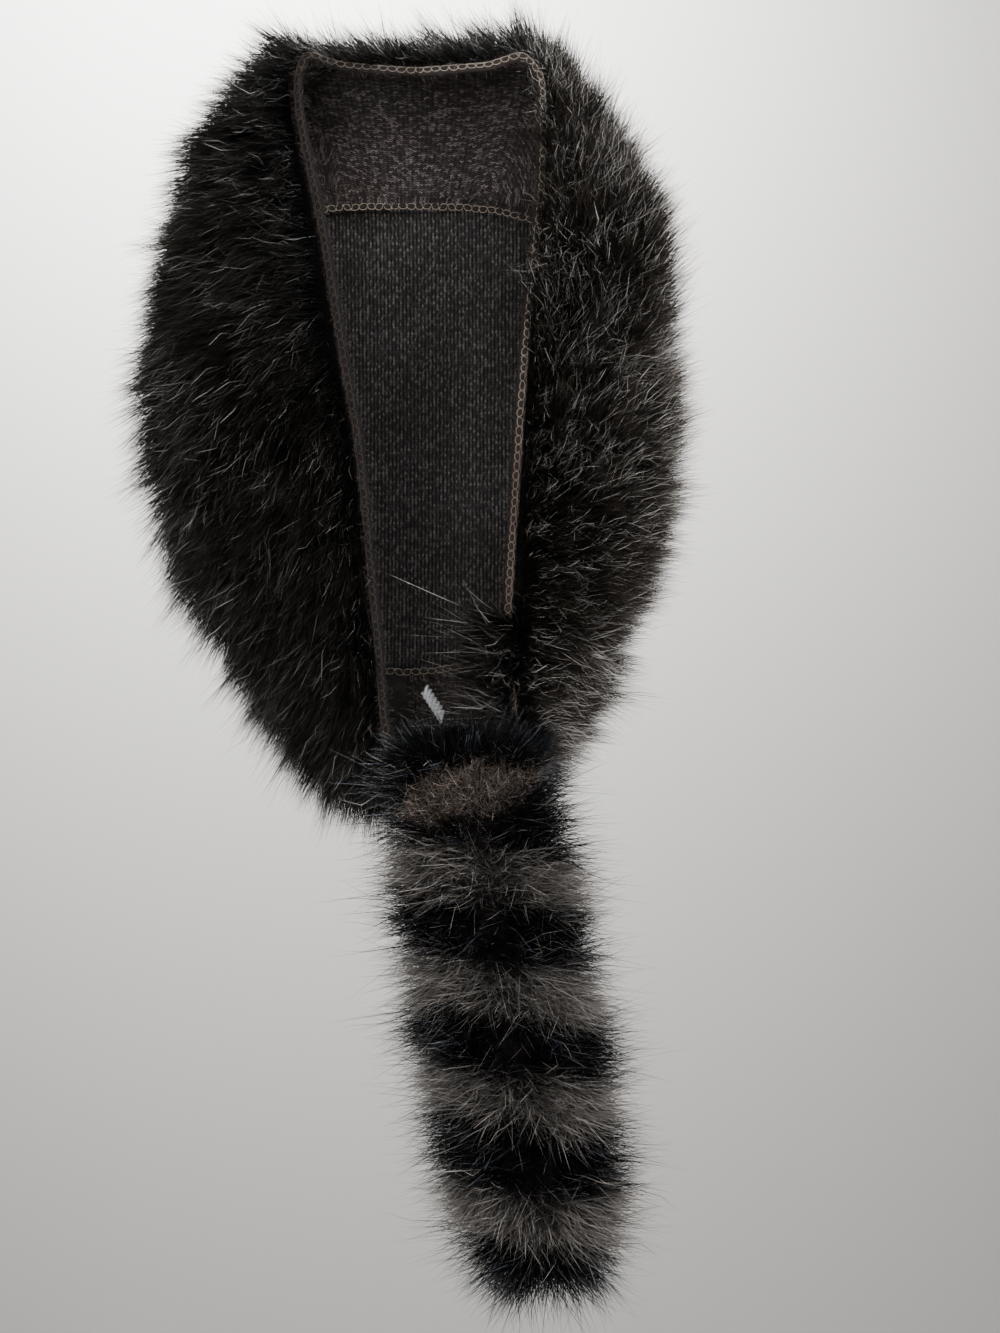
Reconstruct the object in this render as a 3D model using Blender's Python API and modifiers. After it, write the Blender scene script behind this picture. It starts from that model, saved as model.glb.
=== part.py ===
"""A coonskin cap in long-pile faux fur, as it hangs by the middle of its front rim.

Metres, +Z up. The origin is the middle of the front rim. The mouth of the cap faces -Y, its crown
faces +Y, and the tail hangs from the middle of the back rim, which is the lowest part of the mouth.
A knitted backing makes the hollow wall: a band round the head and a crown panel, each with its edge
turned in at the crown seam. The pile stands on it in locks. The tail is a soft core in striped pile.
"""

import math
import random

import bmesh
import bpy
import numpy as np
from mathutils import Vector

# Sizes of the cap
MOUTH_LENGTH = 0.215
MOUTH_FRONT_WIDTH = 0.077
CROWN_LENGTH = 0.166
CROWN_WIDTH = 0.158
CROWN_BELOW_FRONT_RIM = 0.028
CROWN_TO_LEFT = 0.006
BAND_HEIGHT = 0.082
SEAM_BEHIND_RIM = 0.062
SEAM_SIDES_FORWARD = 0.014
CROWN_DOME = 0.014
LEAST_SLACK = 0.03
MOUTH_BOW = 0.008
BACKING = 0.0015
SEAM_ALLOWANCE = 0.0055
RIM_EDGE_RADIUS = 0.0017
CLEARANCE = 0.0003
SEAM_GAP = 0.0006

# Sizes of the tail's core
TAIL_LENGTH = 0.162
TAIL_WIDTH = 0.042
TAIL_THICKNESS = 0.024
TAIL_LEAN = math.radians(9.2)
TAIL_IN_FRONT = 0.006
TAIL_BELOW_RIM = 0.0006
TAIL_TO_RIGHT = 0.004

# Sizes of the pile
PILE_BASE = 0.0012
CAP_PILE = 0.022
TAIL_PILE = 0.022
SHORT_PILE = 0.007

# The bar of white thread inside the back of the band
TACK_LENGTH = 0.0146
TACK_RADIUS = 0.0016
TACK_BELOW_SEAM = 0.0048
TACK_TO_RIGHT = 0.0060
TACK_SLANT = math.radians(16.5)

# Counts
STATIONS = 48
BAND_ROWS = 5
TAIL_SIDES = 10
SMOOTH_STEPS = 8
TACK_STEPS = 4
SEED = 11

# The mouth's two edges, a row for each place down it. down is a share of MOUTH_LENGTH, left and
# right are shares of half the MOUTH_FRONT_WIDTH, and bow is the share of MOUTH_BOW that the edge
# stands forward.
MOUTH_EDGES = [
    # down, left, right, bow
    (-0.003, 0.22, 0.22, 0.0),
    (-0.009, 0.62, 0.65, 0.0),
    (-0.022, 0.97, 1.02, 0.0),
    (0.090, 0.92, 1.06, 0.3),
    (0.190, 0.79, 1.04, 0.6),
    (0.320, 0.66, 0.96, 0.9),
    (0.460, 0.53, 0.89, 1.0),
    (0.565, 0.43, 0.85, 1.0),
    (0.725, 0.35, 0.79, 0.8),
    (0.860, 0.28, 0.76, 0.4),
    (0.940, 0.25, 0.80, 0.1),
    (1.000, 0.22, 0.88, 0.0),
]
MOUTH_FOOT_DOWN = 1.012
MOUTH_FOOT_RIGHT = 0.33

# The crown's outline is a superellipse, squarer above its middle than below it.
UPPER_SQUARENESS = 3.0
LOWER_SQUARENESS = 2.1

# The tail's section down its length: shares of TAIL_LENGTH, TAIL_WIDTH, TAIL_THICKNESS and
# TAIL_IN_FRONT.
TAIL_SECTIONS = [
    # along, width, thickness, in front
    (0.00, 0.90, 0.34, 0.00),
    (0.10, 0.96, 0.62, 0.60),
    (0.30, 1.00, 1.00, 1.00),
    (0.60, 1.00, 1.00, 1.00),
    (0.85, 0.94, 0.96, 0.90),
    (1.00, 0.60, 0.62, 0.80),
]

# The tail's stripes from its root to its tip, with the share of TAIL_LENGTH and the rows of locks.
# Across the front of the first one the pile is short and matted.
TAIL_STRIPES = [
    # fur, share, rows
    ("brown_fur", 0.110, 1),
    ("black_fur", 0.060, 1),
    ("grey_fur", 0.095, 1),
    ("black_fur", 0.120, 2),
    ("grey_fur", 0.105, 1),
    ("black_fur", 0.120, 2),
    ("grey_fur", 0.090, 1),
    ("black_fur", 0.150, 2),
    ("grey_fur", 0.100, 1),
    ("black_fur", 0.050, 1),
]

# A lock's middle, as shares of its length and of its foot's width, and how its length varies
LOCK_MIDDLE = 0.5
LOCK_WAIST = 0.74
LOCK_SHORTEST = 0.85
LOCK_LONGEST = 1.12

# How far the pile is combed aside for each unit that it stands up
BAND_NAP = 0.55
CROWN_NAP = 0.45
TAIL_NAP_DOWN = 0.35
TAIL_NAP_ASIDE = 0.75

# Linear colours and roughness
FINISHES = {
    "dark_fur": ((0.045, 0.038, 0.032), 0.75),
    "black_fur": ((0.008, 0.009, 0.012), 0.6),
    "grey_fur": ((0.17, 0.15, 0.135), 0.8),
    "brown_fur": ((0.12, 0.09, 0.065), 0.85),
    "knit": ((0.06, 0.052, 0.05), 0.9),
    "brown_thread": ((0.16, 0.12, 0.10), 0.8),
    "white_thread": ((0.8, 0.8, 0.8), 0.6),
}


def clear_scene():
    for obj in list(bpy.data.objects):
        bpy.data.objects.remove(obj, do_unlink=True)


def material(finish):
    found = bpy.data.materials.get(finish)
    if found:
        return found
    colour, roughness = FINISHES[finish]
    made = bpy.data.materials.new(finish)
    made.use_nodes = True
    shader = made.node_tree.nodes["Principled BSDF"]
    shader.inputs["Base Color"].default_value = (*colour, 1)
    shader.inputs["Roughness"].default_value = roughness
    made.diffuse_color = (*colour, 1)
    return made


def add_object(name, data, finishes, collection):
    for finish in finishes:
        data.materials.append(material(finish))
    obj = bpy.data.objects.new(name, data)
    collection.objects.link(obj)
    return obj


def add_mesh(name, bm, finishes, collection):
    mesh = bpy.data.meshes.new(name)
    bm.to_mesh(mesh)
    bm.free()
    return add_object(name, mesh, finishes, collection)


def add_tube(name, points, radius, closed, finish, collection):
    """A round cord along the points, with an end cap at each free end."""
    curve = bpy.data.curves.new(name, "CURVE")
    curve.dimensions = "3D"
    curve.bevel_depth = radius
    curve.bevel_resolution = 1
    curve.use_fill_caps = not closed
    spline = curve.splines.new("POLY")
    spline.points.add(len(points) - 1)
    for made, point in zip(spline.points, points):
        made.co = (*point, 1)
    spline.use_cyclic_u = closed
    return add_object(name, curve, [finish], collection)


def smooth_line(points):
    """A Catmull-Rom curve through the points, as many short steps."""
    ends = [2 * points[0] - points[1], *points, 2 * points[-1] - points[-2]]
    line = []
    for a, b, c, d in zip(ends, ends[1:], ends[2:], ends[3:]):
        for k in range(SMOOTH_STEPS):
            u = k / SMOOTH_STEPS
            line.append(
                0.5 * (2 * b + (c - a) * u + (2 * a - 5 * b + 4 * c - d) * u**2)
                + 0.5 * (3 * b - a - 3 * c + d) * u**3
            )
    return line + [points[-1]]


def evenly_spaced(line, count):
    """count + 1 points along the line, as far apart as each other."""
    gone = [0.0]
    for a, b in zip(line, line[1:]):
        gone.append(gone[-1] + (b - a).length)
    points = []
    k = 0
    for step in range(count + 1):
        goal = gone[-1] * step / count
        while k < len(line) - 2 and gone[k + 1] < goal:
            k += 1
        share = (goal - gone[k]) / (gone[k + 1] - gone[k])
        points.append(line[k].lerp(line[k + 1], share))
    return points


def loop_of(right, left):
    """A closed loop of STATIONS points from two lines that run from the top to the foot."""
    half = STATIONS // 2
    down = evenly_spaced(right, half)
    up = evenly_spaced(left, half)
    return down + up[-2:0:-1]


def mouth_foot():
    """The middle of the back rim, where the tail hangs."""
    return Vector((MOUTH_FOOT_RIGHT * MOUTH_FRONT_WIDTH / 2, 0, -MOUTH_FOOT_DOWN * MOUTH_LENGTH))


def mouth_loop():
    """The middle of the rim's edge, clockwise from the middle of the front rim."""
    top = Vector((0, 0, 0))
    half_width = MOUTH_FRONT_WIDTH / 2
    right = [top]
    left = [top]
    for down, left_share, right_share, bow in MOUTH_EDGES:
        y = -bow * MOUTH_BOW
        z = -down * MOUTH_LENGTH
        right.append(Vector((right_share * half_width, y, z)))
        left.append(Vector((-left_share * half_width, y, z)))
    return loop_of(smooth_line(right + [mouth_foot()]), smooth_line(left + [mouth_foot()]))


def crown_centre():
    down = CROWN_BELOW_FRONT_RIM + CROWN_LENGTH / 2
    return Vector((-CROWN_TO_LEFT, SEAM_BEHIND_RIM + CROWN_DOME, -down))


def seam_half(side):
    """One side of the crown seam, from its top to its foot."""
    centre = crown_centre()
    line = []
    steps = 4 * STATIONS
    for k in range(steps + 1):
        angle = math.pi * k / steps
        up, out = math.cos(angle), math.sin(angle)
        power = 2 / (UPPER_SQUARENESS if up > 0 else LOWER_SQUARENESS)
        x = centre.x + side * CROWN_WIDTH / 2 * abs(out) ** power
        z = centre.z + math.copysign(CROWN_LENGTH / 2 * abs(up) ** power, up)
        line.append(Vector((x, SEAM_BEHIND_RIM - SEAM_SIDES_FORWARD * out**2, z)))
    return line


def seam_loop():
    return loop_of(seam_half(1), seam_half(-1))


def outward_of(loop):
    """At each station, the direction away from the loop, across the line of sight."""
    found = []
    for k in range(STATIONS):
        along = loop[(k + 1) % STATIONS] - loop[k - 1]
        found.append(Vector((-along.z, 0, along.x)).normalized())
    return found


class Shell:
    """The outer face of the knitted backing, from the rim over the band and the crown."""

    def __init__(self):
        self.rim = mouth_loop()
        self.seam = seam_loop()
        self.centre = crown_centre()
        self.bulge = []
        for rim, seam, out in zip(self.rim, self.seam, outward_of(self.seam)):
            chord = seam - rim
            slack = max(BAND_HEIGHT - chord.length, LEAST_SLACK * chord.length)
            height_of_shallow_arc = math.sqrt(3 / 8 * chord.length * slack)
            way = chord.normalized()
            self.bulge.append((out - out.dot(way) * way).normalized() * height_of_shallow_arc)

    def band(self, station, share):
        """share is 0 at the middle of the rim's edge and 1 at the crown seam."""
        k = station % STATIONS
        straight = self.rim[k].lerp(self.seam[k], share)
        return straight + self.bulge[k] * 4 * share * (1 - share)

    def crown(self, station, ring):
        """ring is 0 at the crown's middle and 1 at the crown seam. station may be a fraction."""
        k = math.floor(station)
        near, far = self.seam[k % STATIONS], self.seam[(k + 1) % STATIONS]
        edge = near.lerp(far, station - k)
        point = self.centre.lerp(edge, ring)
        point.y = self.centre.y + (edge.y - self.centre.y) * ring**2
        return point

    def turned_in(self, station):
        """At the crown seam: the way in, and the way from the crown's side to the band's side."""
        k = station % STATIONS
        nearly = 0.98
        to_band = (self.band(k, nearly) - self.seam[k]).normalized()
        to_crown = (self.crown(k, nearly) - self.seam[k]).normalized()
        aside = (to_band - to_crown).normalized()
        along = (self.seam[(k + 1) % STATIONS] - self.seam[k - 1]).normalized()
        inward = along.cross(aside).normalized()
        middle_of_hollow = Vector((self.centre.x, 0, self.centre.z))
        if inward.dot(middle_of_hollow - self.seam[k]) < 0:
            inward = -inward
        return inward, aside

    def rim_share(self, station):
        """How far up the band its backing starts, clear of the rim's edge on both sides of it."""
        first_step = 0.05
        way = (self.band(station, first_step) - self.rim[station]) / first_step
        beside = [self.rim[station - 1], self.rim[(station + 1) % STATIONS]]
        rise = min(way.cross((rim - self.rim[station]).normalized()).length for rim in beside)
        return (RIM_EDGE_RADIUS + CLEARANCE) / rise

    def inside(self, station, from_seam, above):
        """A point above the flat facets of the band's inner face. station may be a fraction."""
        rows = self.band_rows()
        row = BAND_ROWS * (1 - from_seam / BAND_HEIGHT)
        k, r = math.floor(station), math.floor(row)
        near = rows[r][k].lerp(rows[r + 1][k], row - r)
        far = rows[r][k + 1].lerp(rows[r + 1][k + 1], row - r)
        inward = (far - near).cross(rows[r + 1][k] - rows[r][k]).normalized()
        if inward.dot(self.centre - near) < 0:
            inward = -inward
        return near.lerp(far, station - k) + inward * (BACKING + above)

    def band_rows(self):
        """Rows of points from the rim to the crown seam, one point for each station."""
        rows = []
        for row in range(BAND_ROWS + 1):
            points = []
            for k in range(STATIONS):
                first = self.rim_share(k)
                share = first + (1 - first) * row / BAND_ROWS
                points.append(self.band(k, share))
            rows.append(points)
        for k in range(STATIONS):
            rows[-1][k] = rows[-1][k] + self.turned_in(k)[1] * SEAM_GAP / 2
        return rows

    def crown_rows(self):
        """A square grid of points laid over the crown: each ring of the square is a ring of it."""
        cells = STATIONS // 4
        rows = []
        for i in range(cells + 1):
            points = []
            for j in range(cells + 1):
                u, v = 2 * j / cells - 1, 1 - 2 * i / cells
                ring = max(abs(u), abs(v))
                station = STATIONS * round_square(u, v) if ring else 0
                point = self.crown(station, ring)
                if ring == 1:
                    point = point - self.turned_in(round(station))[1] * SEAM_GAP / 2
                points.append(point)
            rows.append(points)
        return rows


def round_square(u, v):
    """How far (u, v) is round its square, clockwise from the middle of the top, from 0 to 1."""
    ring = max(abs(u), abs(v))
    u, v = u / ring, v / ring
    if v == 1:
        gone = u % 8
    elif u == 1:
        gone = 1 + (1 - v)
    elif v == -1:
        gone = 3 + (1 - u)
    else:
        gone = 5 + (v + 1)
    return gone / 8


def loft(rows, cyclic):
    """A surface through rows of points."""
    bm = bmesh.new()
    lines = [[bm.verts.new(point) for point in row] for row in rows]
    count = len(rows[0])
    for near, far in zip(lines, lines[1:]):
        for k in range(count if cyclic else count - 1):
            after = (k + 1) % count
            bm.faces.new((near[k], near[after], far[after], far[k]))
    bm.normal_update()
    return bm


def face_away_from(bm, centre):
    """Turns the whole surface over if it faces the centre."""
    total = sum(f.normal.dot(f.calc_center_median() - centre) * f.calc_area() for f in bm.faces)
    if total < 0:
        bmesh.ops.reverse_faces(bm, faces=bm.faces[:])
    bm.normal_update()


def verts_in(geometry):
    return [item for item in geometry if isinstance(item, bmesh.types.BMVert)]


def faces_in(geometry):
    return [item for item in geometry if isinstance(item, bmesh.types.BMFace)]


def add_wall(name, bm, finish, collection):
    """A wall of the backing's thickness inside an open surface."""
    obj = add_mesh(name, bm, [finish], collection)
    solid = obj.modifiers.new("Thickness", "SOLIDIFY")
    solid.thickness = BACKING
    solid.offset = -1
    solid.use_even_offset = True
    obj.data.shade_smooth()
    return obj


def make_band_backing(shell, collection):
    rows = shell.band_rows()
    turned = []
    for k in range(STATIONS):
        inward = shell.turned_in(k)[0]
        turned.append(rows[-1][k] + inward * SEAM_ALLOWANCE)
    bm = loft(rows + [turned], cyclic=True)
    face_away_from(bm, Vector((0, SEAM_BEHIND_RIM / 2, shell.centre.z)))
    return add_wall("band_backing", bm, "knit", collection)


def make_crown_backing(shell, collection):
    bm = loft(shell.crown_rows(), cyclic=False)
    face_away_from(bm, Vector((0, 0, shell.centre.z)))
    edges = [e for e in bm.edges if e.is_boundary]
    made = bmesh.ops.extrude_edge_only(bm, edges=edges)["geom"]
    for vert in verts_in(made):
        k = min(range(STATIONS), key=lambda s: (shell.seam[s] - vert.co).length)
        vert.co += shell.turned_in(k)[0] * SEAM_ALLOWANCE
    bm.normal_update()
    return add_wall("crown_backing", bm, "knit", collection)


def raise_layer(bm, height):
    """Closes an open surface into a layer of this height, and gives its outer faces."""
    normals = {vert.co.copy().freeze(): vert.normal.copy() for vert in bm.verts}
    made = bmesh.ops.extrude_face_region(bm, geom=bm.faces[:], use_keep_orig=True)["geom"]
    for vert in verts_in(made):
        vert.co += normals[vert.co.copy().freeze()] * height
    bmesh.ops.recalc_face_normals(bm, faces=bm.faces[:])
    return faces_in(made)


def grow_locks(bm, faces, lock_at, rng):
    """Draws each face out into a pointed lock. lock_at gives its length and the way it is combed."""
    for face in faces:
        centre = face.calc_center_median()
        length, combed = lock_at(centre, face.normal)
        length *= rng.uniform(LOCK_SHORTEST, LOCK_LONGEST)
        if not length:
            continue
        way = (face.normal + combed).normalized() * length
        lock = bmesh.ops.extrude_discrete_faces(bm, faces=[face])["faces"][0]
        for vert in lock.verts:
            vert.co = centre + (vert.co - centre) * LOCK_WAIST + way * LOCK_MIDDLE
        tip = bmesh.ops.poke(bm, faces=[lock])["verts"][0]
        tip.co = centre + way


def add_pile(name, bm, lock_at, finishes, collection):
    """Pile on an open surface: a thin layer, clear of the surface, with a lock on each face."""
    for vert, normal in [(v, v.normal.copy()) for v in bm.verts]:
        vert.co += normal * CLEARANCE
    outer = raise_layer(bm, PILE_BASE)
    grow_locks(bm, outer, lock_at, random.Random(SEED))
    return add_mesh(name, bm, finishes, collection)


def make_band_pile(shell, tail, collection):
    def lock_at(point, normal):
        if tail.covers(point):
            return 0, Vector()
        from_centre = point - shell.centre
        round_the_crown = Vector((-from_centre.z, 0, from_centre.x)).normalized()
        return CAP_PILE, round_the_crown * BAND_NAP

    bm = loft(shell.band_rows(), cyclic=True)
    face_away_from(bm, Vector((0, SEAM_BEHIND_RIM / 2, shell.centre.z)))
    return add_pile("band_pile", bm, lock_at, ["dark_fur"], collection)


def make_crown_pile(shell, collection):
    def lock_at(point, normal):
        return CAP_PILE, Vector((0, 0, -CROWN_NAP))

    bm = loft(shell.crown_rows(), cyclic=False)
    face_away_from(bm, Vector((0, 0, shell.centre.z)))
    return add_pile("crown_pile", bm, lock_at, ["dark_fur"], collection)


def make_rim_edge(shell, collection):
    return add_tube("rim_edge", shell.rim, RIM_EDGE_RADIUS, True, "brown_thread", collection)


class Tail:
    """The outer face of the tail's core. It hangs by its top from the back rim."""

    def __init__(self):
        along, width, thickness, in_front = zip(*TAIL_SECTIONS)
        self.along = along
        self.width = width
        self.thickness = thickness
        self.in_front = in_front
        top_thickness = thickness[0] * TAIL_THICKNESS
        behind = RIM_EDGE_RADIUS + CLEARANCE + PILE_BASE + CLEARANCE + top_thickness / 2
        self.root = mouth_foot() + Vector((TAIL_TO_RIGHT, -behind, -TAIL_BELOW_RIM))
        self.down = Vector((math.sin(TAIL_LEAN), 0, -math.cos(TAIL_LEAN)))

    def middle(self, share):
        forward = np.interp(share, self.along, self.in_front) * TAIL_IN_FRONT
        return self.root + self.down * TAIL_LENGTH * share - Vector((0, forward, 0))

    def ring(self, share):
        """A level section of the core, clockwise seen from above."""
        half_width = np.interp(share, self.along, self.width) * TAIL_WIDTH / 2
        half_thickness = np.interp(share, self.along, self.thickness) * TAIL_THICKNESS / 2
        points = []
        for k in range(TAIL_SIDES):
            angle = math.tau * k / TAIL_SIDES
            across = Vector((half_width * math.cos(angle), -half_thickness * math.sin(angle), 0))
            points.append(self.middle(share) + across)
        return points

    def shares(self):
        """Where the rows of locks meet, down the core."""
        found = [0.0]
        for _, share, rows in TAIL_STRIPES:
            start = found[-1]
            found += [start + share * (row + 1) / rows for row in range(rows)]
        return found

    def share_of(self, point):
        """How far down the core a point lies."""
        return (self.root.z - point.z) / (TAIL_LENGTH * math.cos(TAIL_LEAN))

    def stripe_at(self, share):
        """The fur of the stripe there."""
        end = 0.0
        for fur, stripe, _ in TAIL_STRIPES:
            end += stripe
            if share < end:
                return fur
        return TAIL_STRIPES[-1][0]

    def covers(self, point):
        """Whether the tail's pile would run into pile on the band at this point."""
        beside = abs(point.x - self.root.x) < TAIL_WIDTH / 2 + SHORT_PILE
        behind = point.y < TAIL_THICKNESS / 2 + TAIL_PILE
        return beside and behind and point.z < self.root.z + SHORT_PILE

    def surface(self):
        bm = loft([self.ring(share) for share in self.shares()], cyclic=True)
        lowest = min(e.verts[0].co.z for e in bm.edges if e.is_boundary)
        foot = [e for e in bm.edges if e.is_boundary and e.verts[0].co.z == lowest]
        bmesh.ops.contextual_create(bm, geom=foot)
        face_away_from(bm, self.middle(0.5))
        return bm


def make_tail_core(tail, collection):
    bm = tail.surface()
    top = [e for e in bm.edges if e.is_boundary]
    bmesh.ops.contextual_create(bm, geom=top)
    bmesh.ops.recalc_face_normals(bm, faces=bm.faces[:])
    obj = add_mesh("tail_core", bm, ["knit"], collection)
    obj.data.shade_smooth()
    return obj


def make_tail_pile(tail, collection):
    def lock_at(point, normal):
        share = tail.share_of(point)
        at_side = abs(normal.x) > math.cos(math.pi / 4)
        if share < TAIL_STRIPES[0][1]:
            return TAIL_PILE if at_side else SHORT_PILE, Vector()
        from_middle = point.x - tail.middle(share).x
        aside = math.copysign(TAIL_NAP_ASIDE * (1 - abs(normal.x)), from_middle)
        combed = Vector((aside, 0, 0)) + tail.down * TAIL_NAP_DOWN
        return TAIL_PILE, combed

    furs = sorted({fur for fur, _, _ in TAIL_STRIPES})
    bm = tail.surface()
    for face in bm.faces:
        share = tail.share_of(face.calc_center_median())
        face.material_index = furs.index(tail.stripe_at(share))
    return add_pile("tail_pile", bm, lock_at, furs, collection)


def make_bar_tack(shell, collection):
    """A short bar of thread that lies aslant on the inner face of the band, near its seam."""
    foot = STATIONS // 2
    spacing = (shell.seam[foot] - shell.seam[foot - 1]).length
    points = []
    for k in range(TACK_STEPS + 1):
        along = TACK_LENGTH * k / TACK_STEPS
        down = TACK_BELOW_SEAM + along * math.cos(TACK_SLANT)
        right = TACK_TO_RIGHT + along * math.sin(TACK_SLANT)
        points.append(shell.inside(foot - right / spacing, down, TACK_RADIUS + CLEARANCE))
    return add_tube("bar_tack", points, TACK_RADIUS, False, "white_thread", collection)


def main():
    clear_scene()
    collection = bpy.data.collections.new("coonskin_cap")
    bpy.context.scene.collection.children.link(collection)
    shell = Shell()
    tail = Tail()
    make_band_backing(shell, collection)
    make_crown_backing(shell, collection)
    make_rim_edge(shell, collection)
    make_band_pile(shell, tail, collection)
    make_crown_pile(shell, collection)
    make_tail_core(tail, collection)
    make_tail_pile(tail, collection)
    make_bar_tack(shell, collection)


main()
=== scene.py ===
"""The looks of the coonskin cap: its long pile, knitted backing and sewing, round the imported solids.

Metres, +Z up. The mouth of the cap faces -Y. Every form is worked out from the frame: pile grows on
the outer faces of the backing nodes, and the sewing follows the rim and the crown seam. Each base
colour depends on one UV map alone, so pieces keep their colours wherever they are drawn.
"""

import math

import bpy
import numpy as np
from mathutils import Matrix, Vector
from mathutils.bvhtree import BVHTree
from mathutils.kdtree import KDTree


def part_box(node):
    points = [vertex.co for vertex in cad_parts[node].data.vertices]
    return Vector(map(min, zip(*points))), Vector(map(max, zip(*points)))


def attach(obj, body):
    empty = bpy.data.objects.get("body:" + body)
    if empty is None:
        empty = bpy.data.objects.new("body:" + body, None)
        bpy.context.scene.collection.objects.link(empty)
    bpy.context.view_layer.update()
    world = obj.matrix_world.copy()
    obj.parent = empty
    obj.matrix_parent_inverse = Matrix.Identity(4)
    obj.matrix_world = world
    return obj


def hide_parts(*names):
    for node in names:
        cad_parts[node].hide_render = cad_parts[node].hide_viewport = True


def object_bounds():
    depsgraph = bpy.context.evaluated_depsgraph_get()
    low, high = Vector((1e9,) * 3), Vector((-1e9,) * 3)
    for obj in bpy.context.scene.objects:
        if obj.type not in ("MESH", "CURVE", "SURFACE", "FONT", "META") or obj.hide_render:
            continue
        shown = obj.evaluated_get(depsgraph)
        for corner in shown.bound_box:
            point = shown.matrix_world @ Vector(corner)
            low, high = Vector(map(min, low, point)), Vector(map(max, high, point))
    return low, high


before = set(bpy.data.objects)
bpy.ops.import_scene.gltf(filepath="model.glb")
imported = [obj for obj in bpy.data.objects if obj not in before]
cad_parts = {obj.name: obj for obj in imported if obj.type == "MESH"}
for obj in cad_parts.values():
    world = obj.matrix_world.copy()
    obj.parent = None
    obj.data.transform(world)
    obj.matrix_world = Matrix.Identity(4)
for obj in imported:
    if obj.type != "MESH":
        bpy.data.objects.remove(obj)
CAD_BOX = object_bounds()

SEED = 7
UV_NAME = "OFBake"
UV_EDGE = 0.01

# The photograph's view: the camera looks along +Y
VIEW_DISTANCE = 0.65
VIEW_HEIGHT = 0.4266
VIEW_CENTRE_X = 0.0275
VIEW_CENTRE_Z = -0.190
SENSOR = 36.0

# Counts of strands. The band's pile is three pieces of so many each, and the tail's is in two.
BAND_STRANDS = 37000
BAND_GUARDS = 28000
CROWN_STRANDS = 28000
CROWN_GUARDS = 6000
FOLD_STRANDS = 5500
FOLD_GUARDS = 1500
TAIL_STRANDS = 36000
TAIL_GUARDS = 7500
CREST_STRANDS = 6000
PATCH_STRANDS = 4500
RIM_FIBRES = 7000
SEAM_FIBRES = 2500

# How many places are tried for each strand that is kept
FOLD_TRIES = 160
CREST_TRIES = 30
PATCH_TRIES = 40

# Sizes of the fur
CAP_PILE = 0.0255
TAIL_PILE = 0.0250
STRAND_WIDTH = 0.00023
GUARD_WIDTH = 0.00024
PATCH_WIDTH = 0.00022
TUFT_SPACING = 0.0025
LOCK_SPACING = 0.0080
UNDERCOAT = 0.0015
SKIN_GAP = 0.0006
BOX_MARGIN = 0.007

# How unlike each other strands are: their tones on the map, widths and curls
TONES = (0.03, 0.97)
WIDTHS = (0.7, 1.3)
CURLS = (0.3, 1.7)

# How far strands wave from their line
STRAND_CURL = 0.0006
GUARD_CURL = 0.0011
TAIL_CURL = 0.0009
CREST_CURL = 0.0008
PATCH_CURL = 0.0013

# How the cap's pile lies: leans against its normals, and shares of its strands' lengths
CAP_LEAN = 0.82
CAP_STRAY = 0.20
CAP_FLOW = 0.20
CAP_FLOW_SIZE = 0.032
CAP_DROOP = 0.12
TUFT_BEND = 0.14
LOCK_BEND = 0.08
CAP_PULL = 0.55
CAP_HOLD = (0.05, 0.32)
CAP_SHORTEST = 0.44
CAP_SPREAD = 0.61
CAP_BETA = (1.9, 1.4)

# How it lies near the rim, where many strands turn inward past the edge
RIM_REACH = 0.007
AWAY_FROM_RIM = 0.10
FORWARD_AT_RIM = 0.85
SHORTER_AT_RIM = 0.45
INWARD_SHARE = 0.55
INWARD_LEAN = (0.4, 1.3)

# Painted light and shade in the pile's tones: more dark strands on the left's inner part, painted shade,
# and lighter ones on the left's outer part and on the right, painted light
CAP_HALF = 0.075
SIDE_BLEND = 0.2
INNER_LEFT_PAINTED_SHADE = 4.1
OUTER_LEFT_PAINTED_LIGHT = 0.30
NEAR_RIGHT_PAINTED_LIGHT = 0.45
FAR_RIGHT_PAINTED_LIGHT = 0.43

# Guard hair: its lengths and pull against the pile's, and how much more its strands stray
GUARD_SHARE = 0.88
GUARD_STRAY = 0.12
GUARD_PULL = 0.4
FOLD_GUARD_SHARE = 1.05
FOLD_GUARD_STRAY = 0.26
TAIL_GUARD_SHARE = 0.84
TAIL_GUARD_STRAY = 0.22
TAIL_GUARD_SPREAD = (1.3, 1.0, 0.5)

# The fold: below and right of here the cap's fur turns in over the rim
FOLD_TOP = -0.178
FOLD_LEFT = 0.022
FOLD_REACH = 0.009
FOLD_AREA = 0.0006
FOLD_OUTWARD = 0.15
FOLD_RISE = (-0.20, -1.0, 0.15)
FOLD_DROOP = (-0.80, 0.25, 0.10)
FOLD_STRAY = 0.22
FOLD_SHARES = (0.42, 0.85)
FOLD_PULL = 0.5
FOLD_SHADE = 0.9

# The tail's stripes, down it from its root, as shares of its length. Each starts where the last ends.
STRIPES = [
    # fur, end
    ("black", 0.175),
    ("grey", 0.275),
    ("black", 0.385),
    ("grey", 0.485),
    ("black", 0.600),
    ("grey", 0.690),
    ("black", 0.825),
    ("grey", 0.920),
    ("black", 1.200),
]
STRIPE_SLANT = 0.030
STRIPE_EDGE = 0.007
SLANT_ENDS = 0.3

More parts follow.
